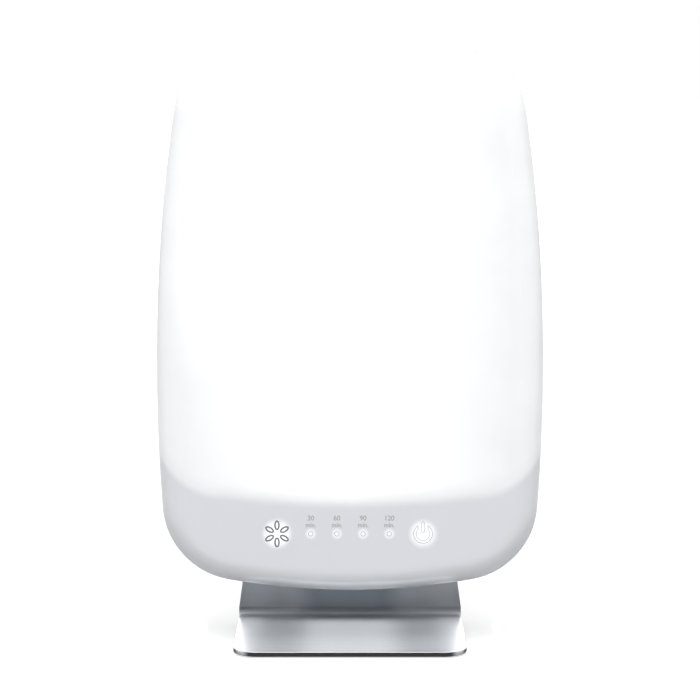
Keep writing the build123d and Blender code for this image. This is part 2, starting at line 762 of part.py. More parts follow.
# The hollow of the rear cover, less the posts and bosses that stand in it.
with BuildPart() as rear_space:
    with BuildSketch(HEAD.offset(SEAM)):
        add(head_outline(COVER_WALL))
    extrude(amount=REAR_INSIDE - SEAM)
    fillet(rear_space.faces().sort_by(HEAD_AXIS)[0].edges(), REAR_DEPTH - REAR_BAND - COVER_WALL)
    add(columns(cover_posts, COVER_POST_RADIUS, -REAR_DEPTH, -REAR_BAND), mode=Mode.SUBTRACT)
    add(columns(head_bolts, BOSS_RADIUS, -REAR_DEPTH, CARRIER_BACK - CLINCH_NUT), mode=Mode.SUBTRACT)

with BuildPart() as rear_cover:
    with BuildSketch(HEAD.offset(-SEAM / 2)):
        add(head_outline())
    extrude(amount=SEAM / 2 - REAR_DEPTH)
    fillet(rear_cover.faces().sort_by(HEAD_AXIS)[0].edges(), REAR_DEPTH - REAR_BAND)
    add(rear_space.part, mode=Mode.SUBTRACT)
    add(
        columns(cover_posts, COVER_SCREW[1] + 2 * SCREW_HOLE_FIT, -REAR_DEPTH, COVER_SEAT),
        mode=Mode.SUBTRACT,
    )
    add(
        columns(cover_posts, COVER_SCREW[0] + SCREW_HOLE_FIT, COVER_SEAT, -REAR_BAND),
        mode=Mode.SUBTRACT,
    )
    add(
        columns(head_bolts, BOLT[0] + SCREW_HOLE_FIT, -REAR_DEPTH, CARRIER_BACK - CLINCH_NUT),
        mode=Mode.SUBTRACT,
    )
    with BuildSketch(HEAD.offset(-REAR_DEPTH)):
        with Locations((inlet_x, INLET_HEIGHT)):
            Rectangle(INLET_BODY[0] + 2 * COVER_FIT, INLET_BODY[1] + 2 * COVER_FIT)
        with Locations((0, upper_vent_height)):
            with GridLocations(VENT_COLUMN_PITCH, VENT_PITCH, VENT_COLUMNS, VENT_ROWS):
                SlotOverall(VENT_LENGTH, VENT_WIDTH)
        with Locations((0, LOWER_VENT_HEIGHT)):
            with GridLocations(VENT_COLUMN_PITCH, VENT_PITCH, VENT_COLUMNS, LOWER_VENT_ROWS):
                SlotOverall(VENT_LENGTH, VENT_WIDTH)
    extrude(amount=COVER_WALL, mode=Mode.SUBTRACT)
finish(rear_cover.part, "rear_cover")

# ---------------------------------------------------------------- chassis
rim_inset = COVER_WALL + COVER_FIT
window_height = RIBBON_TOP - RIBBON_FOOT + 2 * RIBBON_WINDOW_MARGIN
with BuildPart() as chassis:
    with BuildSketch(HEAD.offset(-REAR_BAND)):
        add(head_outline(rim_inset))
        add(head_outline(rim_inset + RIM_WALL), mode=Mode.SUBTRACT)
    extrude(amount=REAR_BAND + FRONT_BAND)
    with BuildSketch(HEAD.offset(-SEAM / 2)):
        add(head_outline(SEAM_DEPTH))
        add(head_outline(rim_inset + RIM_WALL / 2), mode=Mode.SUBTRACT)
    extrude(amount=SEAM)
    with BuildSketch(HEAD):
        add(head_outline(rim_inset + RIM_WALL / 2))
        add(light_outline(LIGHT_INSET - LIGHT_FIT), mode=Mode.SUBTRACT)
        with Locations((0, (RIBBON_TOP + RIBBON_FOOT) / 2)):
            Rectangle(RIBBON_SOCKET[0] + 2 * RIBBON_WINDOW_MARGIN, window_height, mode=Mode.SUBTRACT)
    extrude(amount=WEB)
    add(columns(cover_posts, COVER_POST_RADIUS, -REAR_BAND, WEB))
    add(columns(control_screw_places, BOARD_POST_RADIUS, WEB, CONTROL_BACK))
    add(columns(driver_screw_places, BOARD_POST_RADIUS, DRIVER_FRONT, 0))
    add(
        columns(cover_posts, COVER_SCREW[0] + THREAD_FIT, -REAR_BAND, COVER_SCREW_BITE - REAR_BAND),
        mode=Mode.SUBTRACT,
    )
    add(
        columns(control_screw_places, SMALL_SCREW[0] + THREAD_FIT, WEB, CONTROL_BACK),
        mode=Mode.SUBTRACT,
    )
    add(
        columns(driver_screw_places, SMALL_SCREW[0] + THREAD_FIT, DRIVER_FRONT, 0),
        mode=Mode.SUBTRACT,
    )
finish(chassis.part, "chassis")

rear_seat = Plane(origin=HEAD.offset(COVER_SEAT).origin, x_dir=(-1, 0, 0), z_dir=-HEAD.z_dir)
finish(
    screws(rear_seat, [(-x, y) for x, y in cover_posts], COVER_SCREW, COVER_SCREW_SEAT + COVER_SCREW_BITE),
    "cover_screws",
)

# ---------------------------------------------------------------- carrier plate and light box
with BuildPart() as carrier_plate:
    with BuildSketch(HEAD.offset(CARRIER_BACK)):
        with Locations((0, carrier_bottom + carrier_length / 2)):
            RectangleRounded(HEAD_WIDTH - 2 * CARRIER_SIDE_GAP, carrier_length, CARRIER_CORNER)
        with Locations(*head_bolts):
            Circle(BOLT[0] + SCREW_HOLE_FIT, mode=Mode.SUBTRACT)
        with Locations(*led_screw_places):
            Circle(SMALL_SCREW[0] + THREAD_FIT, mode=Mode.SUBTRACT)
        with Locations(*feed_places):
            Circle(FEED_RADIUS + SCREW_HOLE_FIT, mode=Mode.SUBTRACT)
    extrude(amount=CARRIER)
finish(carrier_plate.part, "carrier_plate")

with BuildPart() as clinch_nuts:
    with BuildSketch(HEAD.offset(CARRIER_BACK - CLINCH_NUT)):
        with Locations(*head_bolts):
            Circle(CLINCH_NUT_RADIUS)
            Circle(BOLT[0] + THREAD_FIT, mode=Mode.SUBTRACT)
    extrude(amount=CLINCH_NUT)
finish(clinch_nuts.part, "clinch_nuts")

with BuildPart() as light_box:
    with BuildSketch(HEAD.offset(BOX_BACK)):
        add(light_outline())
    extrude(amount=BOX_RIM - BOX_BACK)
    with BuildSketch(HEAD.offset(WEB)):
        add(light_outline(LIGHT_INSET - BOX_FLANGE))
        add(light_outline(LIGHT_INSET + BOX_WALL), mode=Mode.SUBTRACT)
    extrude(amount=BOX_WALL)
    with BuildSketch(HEAD.offset(LED_BOARD_BACK)):
        add(light_outline(LIGHT_INSET + BOX_WALL))
    extrude(amount=BOX_RIM - LED_BOARD_BACK, mode=Mode.SUBTRACT)
    with BuildSketch(HEAD.offset(BOX_BACK)):
        with Locations(*led_screw_places):
            Circle(SMALL_SCREW[0] + SCREW_HOLE_FIT)
        with Locations(*feed_places):
            Circle(FEED_RADIUS + SCREW_HOLE_FIT)
    extrude(amount=BOX_WALL, mode=Mode.SUBTRACT)
finish(light_box.part, "light_box")

finish(slab(light_outline(), BOX_RIM, BOX_RIM + DIFFUSER), "diffuser_sheet")

# ---------------------------------------------------------------- LED boards, chips and their wiring
with BuildPart() as led_boards:
    with BuildSketch(HEAD.offset(LED_BOARD_BACK)):
        with Locations(*[(0, row) for row in led_rows]):
            Rectangle(led_board_length, LED_BOARD_WIDTH)
        with Locations(*led_screw_places):
            Circle(SMALL_SCREW[0] + SCREW_HOLE_FIT, mode=Mode.SUBTRACT)
        with Locations(*feed_places):
            Circle(FEED_RADIUS + SCREW_HOLE_FIT, mode=Mode.SUBTRACT)
    extrude(amount=LED_BOARD)
finish(led_boards.part, "led_boards")

led_places = [
    ((i - (LEDS_PER_ROW - 1) / 2) * led_pitch, row) for row in led_rows for i in range(LEDS_PER_ROW)
]
finish(blocks(led_places, (LED_SIZE, LED_SIZE, LED_HEIGHT), LED_BOARD_FRONT), "led_chips")

finish(
    screws(HEAD.offset(LED_BOARD_FRONT), led_screw_places, SMALL_SCREW, LED_BOARD + BOX_WALL + CARRIER),
    "led_board_screws",
)

jumper_x = led_board_length / 2 - JUMPER_INSET
with BuildPart() as led_jumpers:
    for low, high in zip(led_rows, led_rows[1:]):
        for x in (-jumper_x, jumper_x):
            foot = low + LED_BOARD_WIDTH / 4
            head = high - LED_BOARD_WIDTH / 4
            rise = LED_BOARD_FRONT + JUMPER_RISE
            add(wire([(x, foot, LED_BOARD_FRONT), (x, foot, rise), (x, head, rise),
                      (x, head, LED_BOARD_FRONT)], JUMPER_RADIUS))
finish(led_jumpers.part, "led_jumpers")

finish(blocks([(feed_x, led_first_row)], FEED_SOCKET, LED_BOARD_FRONT), "led_feed_connector")

feed_depth = DRIVER_BACK - FEED_TERMINAL[2] + 2 * FEED_RADIUS
feed_low = LED_BOARD_FRONT - FEED_DROP
feed_start = feed_terminal_height + FEED_TERMINAL[1] / 2
with BuildPart() as led_feed_wires:
    for x, row in feed_places:
        start_x = x - feed_x + feed_terminal_x
        add(wire([
            (start_x, feed_start, feed_depth),
            (start_x, feed_start + FEED_DROP / 2, feed_depth),
            (x, feed_start + FEED_DROP / 2 + feed_depth - feed_low, feed_low),
            (x, row, feed_low),
            (x, row, LED_BOARD_FRONT),
        ], FEED_RADIUS))
finish(led_feed_wires.part, "led_feed_wires")

# ---------------------------------------------------------------- control board behind the panel
with BuildPart() as control_board:
    with BuildSketch(HEAD.offset(CONTROL_BACK)):
        with Locations((0, ICON_HEIGHT)):
            Rectangle(control_board_length, control_board_width)
        with Locations(*control_screw_places):
            Circle(SMALL_SCREW[0] + SCREW_HOLE_FIT, mode=Mode.SUBTRACT)
    extrude(amount=BOARD)
finish(control_board.part, "control_board")
finish(
    screws(HEAD.offset(CONTROL_FRONT), control_screw_places, SMALL_SCREW, BOARD + DRIVER_STANDOFF),
    "control_board_screws",
)
finish(
    blocks([(CHIP_X, ICON_HEIGHT)], (CHIP_SIZE, CHIP_SIZE, CHIP_HEIGHT), CONTROL_BACK - CHIP_HEIGHT),
    "control_chip",
)

key_places = list(icons.values())
with BuildPart() as icon_well_block:
    with BuildSketch(HEAD.offset(CONTROL_FRONT)):
        with Locations((0, ICON_HEIGHT)):
            RectangleRounded(well_block_length, well_block_width, BRACKET_CORNER)
        with Locations(*key_places):
            Circle(KEY_WELL_RADIUS, mode=Mode.SUBTRACT)
        with Locations(*timer_places):
            Circle(TIMER_WELL_RADIUS, mode=Mode.SUBTRACT)
    extrude(amount=WELL_HEIGHT)
finish(icon_well_block.part, "icon_well_block")

with BuildPart() as touch_rings:
    with BuildSketch(HEAD.offset(CONTROL_FRONT)):
        with Locations(*key_places):
            Circle(KEY_WELL_RADIUS - COVER_FIT)
            Circle(KEY_WELL_RADIUS - COVER_FIT - TOUCH_RING, mode=Mode.SUBTRACT)
    extrude(amount=WELL_HEIGHT)
finish(touch_rings.part, "touch_rings")

finish(
    blocks(key_places + timer_places, (LED_SIZE, LED_SIZE, LED_HEIGHT), CONTROL_FRONT),
    "control_leds",
)

# ---------------------------------------------------------------- printed symbols on the panel
petal_length = PETAL_OUTER - PETAL_INNER
petal_centre = (PETAL_OUTER + PETAL_INNER) / 2
power_inner = POWER_OUTER - POWER_BAND


def power_symbol(grow):
    """A broken ring with a bar in its gap, made thicker all round by grow."""
    with BuildSketch() as symbol:
        Circle(POWER_OUTER + grow)
        Circle(power_inner - grow, mode=Mode.SUBTRACT)
        with Locations((0, POWER_OUTER)):
            Rectangle(POWER_GAP + POWER_BAND - 2 * grow, 2 * POWER_BAND + POWER_OUTER, mode=Mode.SUBTRACT)
        with Locations((0, (POWER_BAR_TOP + POWER_BAR_FOOT) / 2)):
            SlotOverall(POWER_BAR_TOP - POWER_BAR_FOOT + 2 * grow, POWER_BAND + 2 * grow, rotation=90)
    return symbol.sketch


with BuildPart() as panel_icons:
    with BuildSketch(HEAD.offset(FRONT_DEPTH)):
        with Locations(icons["mode"]):
            with PolarLocations(petal_centre, PETALS, start_angle=90):
                Ellipse(petal_length / 2, PETAL_WIDTH / 2)
                Ellipse(petal_length / 2 - PETAL_LINE, PETAL_WIDTH / 2 - PETAL_LINE, mode=Mode.SUBTRACT)
        with Locations(*timer_places):
            Circle(TIMER_RING)
            Circle(TIMER_RING - TIMER_LINE, mode=Mode.SUBTRACT)
        with Locations(icons["power"]):
            add(power_symbol(0))
            add(power_symbol(-POWER_LINE), mode=Mode.SUBTRACT)
    extrude(amount=PRINT)
finish(panel_icons.part, "panel_icons")

# ---------------------------------------------------------------- driver board and its components
with BuildPart() as driver_board:
    with BuildSketch(HEAD.offset(DRIVER_BACK)):
        with Locations(((DRIVER_START + driver_end) / 2, driver_height)):
            Rectangle(driver_end - DRIVER_START, DRIVER_WIDTH)
        with Locations(*driver_screw_places):
            Circle(SMALL_SCREW[0] + SCREW_HOLE_FIT, mode=Mode.SUBTRACT)
    extrude(amount=BOARD)
finish(driver_board.part, "driver_board")

driver_seat = Plane(origin=HEAD.offset(DRIVER_BACK).origin, x_dir=(-1, 0, 0), z_dir=-HEAD.z_dir)
finish(
    screws(driver_seat, [(-x, y) for x, y in driver_screw_places], SMALL_SCREW, BOARD + DRIVER_STANDOFF),
    "driver_board_screws",
)

with BuildPart() as driver_transformer:
    width, height, depth = TRANSFORMER
    with BuildSketch(HEAD.offset(DRIVER_BACK)):
        with Locations((transformer_x, driver_height)):
            Rectangle(width, CORE_HEIGHT)
    extrude(amount=-depth)
    with BuildSketch(HEAD.offset(DRIVER_BACK)):
        with Locations((transformer_x, driver_height)):
            RectangleRounded(WINDING_WIDTH, height, BRACKET_CORNER)
    extrude(amount=-WINDING_HEIGHT)
finish(driver_transformer.part, "driver_transformer")

bulk_places = [(bulk_capacitor_x, driver_height + side * CAPACITOR_PITCH / 2) for side in (-1, 1)]
small_places = [(small_capacitor_x, driver_height + side * CAPACITOR_PITCH / 2) for side in (-1, 1)]
with BuildPart() as driver_capacitors:
    add(columns(bulk_places, BULK_CAPACITOR_RADIUS, DRIVER_BACK - BULK_CAPACITOR_HEIGHT, DRIVER_BACK))
    add(columns(small_places, SMALL_CAPACITOR_RADIUS, DRIVER_BACK - SMALL_CAPACITOR_HEIGHT, DRIVER_BACK))
finish(driver_capacitors.part, "driver_capacitors")

with BuildPart() as driver_heatsink:
    width, height, depth = HEATSINK
    with BuildSketch(HEAD.offset(DRIVER_BACK)):
        with Locations((heatsink_x, driver_height)):
            Rectangle(HEATSINK_FIN, height)
            with GridLocations(0, (height - HEATSINK_FIN) / (HEATSINK_FINS - 1), 1, HEATSINK_FINS):
                Rectangle(width, HEATSINK_FIN)
    extrude(amount=-depth)
finish(driver_heatsink.part, "driver_heatsink")

with BuildPart() as driver_choke:
    choke_height = DRIVER_FOOT + CHOKE_FOOT + CHOKE_RADIUS + CHOKE_ROD
    with BuildSketch(
        Plane(
            origin=HEAD.from_local_coords((choke_x, choke_height, DRIVER_BACK - CHOKE_ROD)),
            x_dir=(1, 0, 0),
            z_dir=HEAD.y_dir,
        )
    ):
        with Locations((CHOKE_RADIUS, 0)):
            Circle(CHOKE_ROD)
    revolve(axis=Axis(HEAD.from_local_coords((choke_x, choke_height, 0)), HEAD.z_dir))
finish(driver_choke.part, "driver_choke")

with BuildPart() as driver_fuse:
    with BuildSketch(
        Plane(
            origin=HEAD.from_local_coords(
                (fuse_start, driver_height + FUSE_UP, DRIVER_BACK - FUSE_RADIUS)
            ),
            x_dir=HEAD.y_dir,
            z_dir=(1, 0, 0),
        )
    ):
        Circle(FUSE_RADIUS)
    extrude(amount=FUSE_LENGTH)
finish(driver_fuse.part, "driver_fuse")

with BuildPart() as board_sockets:
    add(blocks([(terminal_x, driver_height)], TERMINAL, DRIVER_BACK - TERMINAL[2]))
    add(blocks([(feed_terminal_x, feed_terminal_height)], FEED_TERMINAL, DRIVER_BACK - FEED_TERMINAL[2]))
    add(blocks([(0, RIBBON_FOOT)], RIBBON_SOCKET, DRIVER_FRONT))
    add(blocks([(0, RIBBON_TOP)], RIBBON_SOCKET, CONTROL_BACK - RIBBON_SOCKET[2]))
finish(board_sockets.part, "board_sockets")

ribbon_start = CONTROL_BACK - RIBBON_SOCKET[2]
ribbon_end = DRIVER_FRONT + RIBBON_SOCKET[2]
with BuildPart() as control_ribbon:
    with BuildLine(HEAD_SIDE) as ribbon_path:
        FilletPolyline(
            (RIBBON_TOP, ribbon_start),
            (RIBBON_TOP, ribbon_start - RIBBON_LEAD),
            (RIBBON_FOOT, ribbon_end + RIBBON_LEAD),
            (RIBBON_FOOT, ribbon_end),
            radius=RIBBON_BEND,
        )
    with BuildSketch(
        Plane(origin=ribbon_path.line @ 0, x_dir=(1, 0, 0), z_dir=ribbon_path.line % 0)
    ):
        Rectangle(RIBBON_WIDTH, RIBBON)
    sweep()
finish(control_ribbon.part, "control_ribbon")

# ---------------------------------------------------------------- mains inlet
inlet_mouth = -REAR_DEPTH - INLET_FLANGE[2]
pin_places = [(inlet_x + side * PIN_SPACING / 2, INLET_HEIGHT) for side in (-1, 1)]
with BuildPart() as mains_inlet:
    with BuildSketch(HEAD.offset(inlet_mouth)):
        with Locations((inlet_x, INLET_HEIGHT)):
            RectangleRounded(INLET_FLANGE[0], INLET_FLANGE[1], BRACKET_CORNER)
    extrude(amount=INLET_FLANGE[2])
    with BuildSketch(HEAD.offset(-REAR_DEPTH)):
        with Locations((inlet_x, INLET_HEIGHT)):
            Rectangle(*INLET_BODY)
    extrude(amount=INLET_BACK + REAR_DEPTH)
    with BuildSketch(HEAD.offset(inlet_mouth)):
        with Locations((inlet_x, INLET_HEIGHT)):
            SlotOverall(SOCKET_WIDTH, SOCKET_HEIGHT)
    extrude(amount=SOCKET_DEPTH, mode=Mode.SUBTRACT)
    with BuildSketch(HEAD.offset(inlet_mouth + SOCKET_DEPTH)):
        with Locations(*pin_places):
            Circle(PIN_RADIUS)
    extrude(amount=INLET_BODY_DEPTH, mode=Mode.SUBTRACT)
finish(mains_inlet.part, "mains_inlet")

finish(
    columns(pin_places, PIN_RADIUS, inlet_mouth + PIN_RECESS, INLET_BACK + PIN_TAIL), "inlet_pins"
)

mains_start = INLET_BACK + PIN_TAIL
mains_end = DRIVER_BACK - TERMINAL[2] / 2
terminal_face = terminal_x + TERMINAL[0] / 2
with BuildPart() as mains_wires:
    for side in (-1, 1):
        pin_x = inlet_x + side * PIN_SPACING / 2
        end_height = driver_height - side * PIN_SPACING / 2
        add(wire([
            (pin_x, INLET_HEIGHT, mains_start),
            (pin_x, INLET_HEIGHT, mains_start + MAINS_RISE),
            (terminal_face + 2 * MAINS_SIDE, end_height, mains_start + MAINS_RISE),
            (terminal_face + MAINS_SIDE, end_height, mains_end),
            (terminal_face, end_height, mains_end),
        ], MAINS_RADIUS))
finish(mains_wires.part, "mains_wires")
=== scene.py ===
import json
import math

import bpy
from mathutils import Matrix, Vector


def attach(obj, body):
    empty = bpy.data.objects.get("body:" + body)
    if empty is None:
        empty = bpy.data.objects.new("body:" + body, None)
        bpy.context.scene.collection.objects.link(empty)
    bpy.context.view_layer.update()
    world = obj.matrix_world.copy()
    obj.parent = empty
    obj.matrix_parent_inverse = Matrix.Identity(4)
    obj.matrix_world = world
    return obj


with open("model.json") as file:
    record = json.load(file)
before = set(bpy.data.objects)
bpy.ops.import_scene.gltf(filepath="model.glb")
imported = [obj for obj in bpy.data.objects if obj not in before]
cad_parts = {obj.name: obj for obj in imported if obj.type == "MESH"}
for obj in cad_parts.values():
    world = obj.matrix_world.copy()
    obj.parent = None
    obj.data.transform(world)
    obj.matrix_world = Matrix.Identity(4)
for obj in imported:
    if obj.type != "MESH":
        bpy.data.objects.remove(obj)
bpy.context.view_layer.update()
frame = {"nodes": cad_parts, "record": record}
nodes = frame["nodes"]
scene = bpy.context.scene

# The head's own axes: u across, v up the lit face from its lower edge, w out of the face from the seam.
HEAD_TILT = math.radians(9)
HEAD_ORIGIN = Vector((0, -0.0243, 0.0504))
HEAD_U = Vector((1, 0, 0))
HEAD_V = Vector((0, math.sin(HEAD_TILT), math.cos(HEAD_TILT)))
HEAD_W = Vector((0, -math.cos(HEAD_TILT), math.sin(HEAD_TILT)))
FACE = 0.022

# Each side of the head is one large arc, widest at WIDEST_HEIGHT up the face.
HEAD_HALF_WIDTH = 0.170
WIDEST_HEIGHT = 0.203
SIDE_RADIUS = 1.602

ICON_HEIGHT = 0.0505
MODE_ICON = (-0.0636, ICON_HEIGHT)
POWER_ICON = (0.0636, ICON_HEIGHT)
TIMERS = [(-0.0342, "30"), (-0.0114, "60"), (0.0114, "90"), (0.0342, "120")]

# The printed legends stand in two rows above the timer lights.
MINUTES_HEIGHT = 0.0640
MINUTES_SIZE = 0.0060
UNIT_HEIGHT = 0.0580
UNIT_SIZE = 0.0054
INK_DEPTH = 0.00002

# The base plate, which the two side lamps are aimed at and flagged to.
BASE_HALF_WIDTH = 0.101
BASE_FRONT = -0.065
BASE_TOP = 0.005

FLOOR_HALF_WIDTH = 12.0
FLOOR_DROP = 0.0002


# ---------------------------------------------------------------- camera
camera = bpy.data.objects.new("camera", bpy.data.cameras.new("camera"))
scene.collection.objects.link(camera)
camera.location = (0, -1.996, 0.5577)
camera.rotation_euler = (math.radians(90 - 8.485), 0, 0)
camera.data.sensor_width = 36
camera.data.lens = 118.3
camera.data.clip_start = 0.05
scene.camera = camera


# ---------------------------------------------------------------- shader helpers
class Wiring:
    """Shader nodes put together in an emptied tree; each method returns the socket that it made."""

    def __init__(self, tree, coordinates):
        self.tree = tree
        tree.nodes.clear()
        self.place = self.coordinates(coordinates)

    def coordinates(self, kind):
        return self.tree.nodes.new("ShaderNodeTexCoord").outputs[kind]

    def feed(self, socket, value):
        if isinstance(value, bpy.types.NodeSocket):
            self.tree.links.new(value, socket)
        elif isinstance(value, (tuple, list, Vector)) and socket.type == "RGBA":
            socket.default_value = (*value[:3], 1)
        else:
            socket.default_value = value

    def math(self, operation, a, b=0.0):
        node = self.tree.nodes.new("ShaderNodeMath")
        node.operation = operation
        self.feed(node.inputs[0], a)
        self.feed(node.inputs[1], b)
        return node.outputs[0]

    def product(self, first, *others):
        for factor in others:
            first = self.math("MULTIPLY", first, factor)
        return first

    def vector(self, operation, a, b):
        node = self.tree.nodes.new("ShaderNodeVectorMath")
        node.operation = operation
        self.feed(node.inputs[0], a)
        self.feed(node.inputs[1], b)
        gives_number = operation in ("DOT_PRODUCT", "LENGTH", "DISTANCE")
        return node.outputs["Value" if gives_number else "Vector"]

    def split(self, value):
        node = self.tree.nodes.new("ShaderNodeSeparateXYZ")
        self.feed(node.inputs[0], value)
        return node.outputs

    def ramp(self, value, low, high, start=0.0, end=1.0, kind="SMOOTHSTEP"):
        node = self.tree.nodes.new("ShaderNodeMapRange")
        node.interpolation_type = kind
        for socket, entry in zip(node.inputs, (value, low, high, start, end)):
            self.feed(socket, entry)
        return node.outputs[0]

    def fall(self, value, low, high):
        """1 below low and 0 above high, with a soft step between them."""
        return self.ramp(value, low, high, 1.0, 0.0)

    def curve(self, value, points):
        node = self.tree.nodes.new("ShaderNodeFloatCurve")
        line = node.mapping.curves[0]
        for point, (x, y) in zip(line.points, (points[0], points[-1])):
            point.location = (x, y)
        for x, y in points[1:-1]:
            line.points.new(x, y)
        node.mapping.update()
        self.feed(node.inputs["Value"], value)
        return node.outputs[0]

    def mix(self, factor, a, b):
        node = self.tree.nodes.new("ShaderNodeMix")
        node.data_type = "RGBA"
        self.feed(node.inputs[0], factor)
        self.feed(node.inputs[6], a)
        self.feed(node.inputs[7], b)
        return node.outputs[2]

    def noise(self, size, detail, stretch=(1, 1, 1)):
        """Noise whose blobs are about size metres across, longer along an axis with stretch above 1."""
        node = self.tree.nodes.new("ShaderNodeTexNoise")
        scaled = self.vector("MULTIPLY", self.place, Vector([1 / (size * s) for s in stretch]))
        self.feed(node.inputs["Vector"], scaled)
        self.feed(node.inputs["Scale"], 1.0)
        self.feed(node.inputs["Detail"], detail)
        return node.outputs["Fac"]

    def bump(self, height, depth):
        """The shading normal for a height between 0 and 1 that stands depth metres high."""
        node = self.tree.nodes.new("ShaderNodeBump")
        node.inputs["Strength"].default_value = 1.0
        node.inputs["Distance"].default_value = depth
        self.feed(node.inputs["Height"], height)
        return node.outputs[0]

    def seen(self):
        """Two sockets: one is 1 for camera rays, the other for rays off a mirror or through glass."""
        path = self.tree.nodes.new("ShaderNodeLightPath")
        glossy = path.outputs["Is Glossy Ray"]
        mirrored = self.math("MAXIMUM", glossy, path.outputs["Is Transmission Ray"])
        return path.outputs["Is Camera Ray"], mirrored


class Look(Wiring):
    """A node material."""

    def __init__(self, name):
        self.material = bpy.data.materials.new(name)
        self.material.use_nodes = True
        super().__init__(self.material.node_tree, "Object")
        self.bsdf = self.tree.nodes.new("ShaderNodeBsdfPrincipled")
        output = self.tree.nodes.new("ShaderNodeOutputMaterial")
        self.tree.links.new(self.bsdf.outputs[0], output.inputs["Surface"])

    def set(self, **values):
        for name, value in values.items():
            self.feed(self.bsdf.inputs[name.replace("_", " ")], value)


def shade(colour, factor):
    return tuple(min(1.0, channel * factor) for channel in colour[:3])


def moulded(name, colour, roughness=0.45, grain=0.0006, depth=0.00001):
    """Moulded plastic with a fine tool texture and a little unevenness in its gloss."""
    look = Look(name)
    broad = look.noise(0.06, 2)
    fine = look.noise(grain, 2)
    look.set(
        Base_Color=look.mix(broad, shade(colour, 0.97), shade(colour, 1.03)),
        Roughness=look.ramp(look.noise(0.02, 3), 0.3, 0.7, roughness - 0.05, roughness + 0.05),
        Normal=look.bump(fine, depth),
        Specular_IOR_Level=0.5,
    )
    return look.material


def rubber(name, colour, roughness=0.75):
    look = Look(name)
    dust = look.noise(0.004, 4)
    look.set(
        Base_Color=look.mix(dust, shade(colour, 0.8), shade(colour, 1.3)),
        Roughness=look.ramp(look.noise(0.01, 2), 0.3, 0.7, roughness - 0.06, roughness + 0.06),
        Normal=look.bump(look.noise(0.0008, 2), 0.00003),
        Specular_IOR_Level=0.3,
    )
    return look.material


def metal(name, colour, roughness, stretch=(14, 1, 1)):
    """Metal with grinding or rolling lines along the stretched axis."""
    look = Look(name)
    lines = look.noise(0.0003, 3, stretch)
    stains = look.noise(0.015, 4)
    look.set(
        Base_Color=look.mix(lines, shade(colour, 0.9), shade(colour, 1.1)),
        Metallic=1.0,
        Roughness=look.ramp(stains, 0.3, 0.7, roughness - 0.06, roughness + 0.08),
        Normal=look.bump(lines, 0.000004),
    )
    return look.material


# ---------------------------------------------------------------- the opal front cover
def head_places(look):
    """The sockets for u, v and w of the shaded point."""
    point = look.vector("SUBTRACT", look.place, HEAD_ORIGIN)
    return [look.vector("DOT_PRODUCT", point, axis) for axis in (HEAD_U, HEAD_V, HEAD_W)]


def opal_cover():
    look = Look("opal_cover")
    u, v, w = head_places(look)
    across = look.math("ABSOLUTE", u)

    # The lower edge of the light box shows through as a soft border that turns up towards the sides.
    # The points give its height, as a share of border_height, by the share of the way to the side.
    border_height = 0.150
    middle_points = [(0, 0.504), (0.31, 0.516), (0.61, 0.546)]
    side_points = [(0.77, 0.574), (0.87, 0.641), (0.945, 0.727), (1, 0.820)]
    border = look.curve(look.math("DIVIDE", across, HEAD_HALF_WIDTH), middle_points + side_points)
    above = look.math("SUBTRACT", v, look.math("MULTIPLY", border_height, border))
    lit = look.ramp(above, -0.005, 0.005)

    # The glow fades towards the sides, over a longer way on the right and low on the left; that longer
    # fade is painted shade.
    rim_strength = 0.055
    full_strength = 0.32
    bulge = look.math("POWER", look.math("SUBTRACT", v, WIDEST_HEIGHT), 2)
    half_width = look.math("SUBTRACT", HEAD_HALF_WIDTH, look.math("DIVIDE", bulge, 2 * SIDE_RADIUS))
    from_side = look.math("SUBTRACT", half_width, across)
    left_rise = look.ramp(v, 0.170, 0.270, 2.6, 6.5)
    rise = look.ramp(u, -0.01, 0.01, left_rise, 2.0)
    side_strength = look.math("MAXIMUM", look.product(from_side, rise), rim_strength)
    side_strength = look.math("MINIMUM", side_strength, full_strength)
    strength = look.product(side_strength, look.ramp(above, -0.004, 0.018))

    # Each symbol has a small light behind it, which the opal plastic spreads.
    # A light is full within its core and ends at its rim.
    front = look.ramp(w, 0.010, 0.020)
    face_point = look.tree.nodes.new("ShaderNodeCombineXYZ")
    look.feed(face_point.inputs[0], u)
    look.feed(face_point.inputs[1], v)
    halo = 0.0
    lamps = [(*MODE_ICON, 0.0070, 0.0150, 0.40), (*POWER_ICON, 0.0060, 0.0145, 0.38)]
    lamps += [(x, ICON_HEIGHT, 0.0010, 0.0060, 0.34) for x, _ in TIMERS]
    for x, y, core, rim, power in lamps:
        away = look.vector("DISTANCE", face_point.outputs[0], Vector((x, y, 0)))
        halo = look.math("ADD", halo, look.ramp(away, core, rim, power, 0.0))
    glow = look.product(halo, front)

    # The middle of the lower roll looks down at the stand and is painted greyer there as shade.
    facing_up = look.split(look.coordinates("Normal"))[2]
    underside_painted_shade = look.product(look.fall(facing_up, -0.85, -0.30), look.fall(across, 0.055, 0.14))
    panel = look.mix(underside_painted_shade, (0.735, 0.752, 0.785), (0.24, 0.245, 0.255))

    dirt = look.noise(0.05, 2)
    plastic = look.mix(lit, panel, (0.93, 0.935, 0.945))
    look.material.cycles.emission_sampling = "NONE"
    look.set(
        Base_Color=look.mix(dirt, plastic, look.mix(0.5, plastic, (0.72, 0.74, 0.77))),
        Roughness=look.ramp(look.noise(0.03, 3), 0.3, 0.7, 0.16, 0.22),
        Normal=look.bump(look.noise(0.02, 2), 0.000006),
        Emission_Color=(1.0, 1.0, 1.0),
        Emission_Strength=look.math("ADD", strength, glow),
        Specular_IOR_Level=0.5,
        Coat_Weight=0.15,
        Coat_Roughness=0.08,
    )
    return look.material


